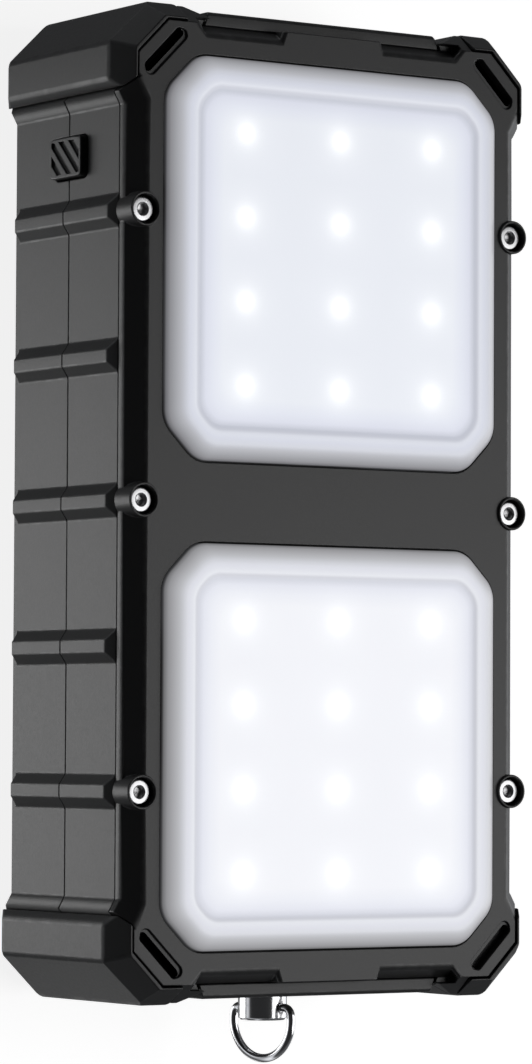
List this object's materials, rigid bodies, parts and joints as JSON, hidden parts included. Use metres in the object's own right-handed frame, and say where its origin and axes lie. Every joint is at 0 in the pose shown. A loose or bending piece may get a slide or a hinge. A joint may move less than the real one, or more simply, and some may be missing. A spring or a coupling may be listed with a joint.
{
  "type": "solar phone charger",
  "caption": "Rugged solar phone charger with lamp panels on the front, a solar panel on the back, rubber corner guards, a side button, covered sockets and a swivelling hanging ring.",
  "frame": {"origin": "centre of the flat back face, which holds the solar panel", "axes": "+Z from the back face towards the lamps, +Y along the length towards the socket end, +X across the width away from the power button"},
  "size_m": [0.0824, 0.1722, 0.0414],
  "materials": {
    "bezel_plastic": "fine grained dark plastic",
    "case_plastic": "fine grained dark grey plastic",
    "guard_rubber": "matt moulded rubber",
    "milky_lens": "milky diffuser, lit",
    "black_foam": "closed cell foam",
    "white_plastic": "white reflector plastic",
    "white_board": "white coated board",
    "lamp_chip": "phosphor coated chip",
    "copper_flex": "polyimide ribbon",
    "red_wire": "insulated wire",
    "screw_steel": "satin stainless steel",
    "brass": "turned",
    "black_plastic": "moulded",
    "green_board": "solder masked board",
    "socket_steel": "nickel plated",
    "clear_plastic": "clear moulded",
    "cell_foil": "pouch foil",
    "nickel": "rolled strip",
    "solar_sheet": "clear laminated sheet",
    "solar_silicon": "dark blue silicon cell",
    "cover_rubber": "soft touch rubber",
    "chrome": "polished"
  },
  "bodies": {
    "case": {"front_bezel": "bezel_plastic", "front_shell": "case_plastic", "back_shell": "case_plastic", "corner_guard_1": "guard_rubber", "corner_guard_2": "guard_rubber", "corner_guard_3": "guard_rubber", "corner_guard_4": "guard_rubber", "lamp_lens_1": "milky_lens", "lamp_lens_2": "milky_lens", "lens_gaskets": "black_foam", "reflector_1": "white_plastic", "reflector_2": "white_plastic", "led_board_1": "white_board", "led_board_2": "white_board", "led_chips_1": "lamp_chip", "led_chips_2": "lamp_chip", "lamp_flex": "copper_flex", "lamp_leads": "red_wire", "case_screws": "screw_steel", "threaded_inserts": "brass", "button_switch": "black_plastic", "main_board": "green_board", "board_screws": "screw_steel", "board_chips": "black_plastic", "usb_a_socket": "socket_steel", "usb_c_socket_1": "socket_steel", "usb_c_socket_2": "socket_steel", "light_guide": "clear_plastic", "indicator_leds": "lamp_chip", "battery_cell_1": "cell_foil", "battery_cell_2": "cell_foil", "cell_pads": "black_foam", "battery_tabs": "nickel", "solar_cover": "solar_sheet", "solar_cells": "solar_silicon", "solar_backing": "white_board", "solar_leads": "red_wire", "port_cover_pin": "screw_steel", "post_bushing": "brass"},
    "power_button": {"power_button": "case_plastic"},
    "swivel_post": {"swivel_post": "chrome", "post_clip": "screw_steel"},
    "hang_ring": {"hang_ring": "chrome"},
    "port_cover": {"port_cover": "cover_rubber"}
  },
  "joints": [
    {"name": "button_press", "type": "slide", "parent": "case", "child": "power_button", "axis": [1, 0, 0], "range_m": [0, 0.0006], "stiffness_N_per_m": 800},
    {"name": "post_swivel", "type": "hinge", "parent": "case", "child": "swivel_post", "pos_m": [0, -0.0798, 0.0195], "axis": [0, -1, 0], "continuous": true},
    {"name": "ring_swing", "type": "hinge", "parent": "swivel_post", "child": "hang_ring", "pos_m": [0, -0.0824, 0.0195], "axis": [0.2588, 0, 0.9659], "range_deg": [-95, 95]},
    {"name": "cover_open", "type": "hinge", "parent": "case", "child": "port_cover", "pos_m": [0, 0.0784, 0.0112], "axis": [-1, 0, 0], "range_deg": [0, 90]}
  ]
}
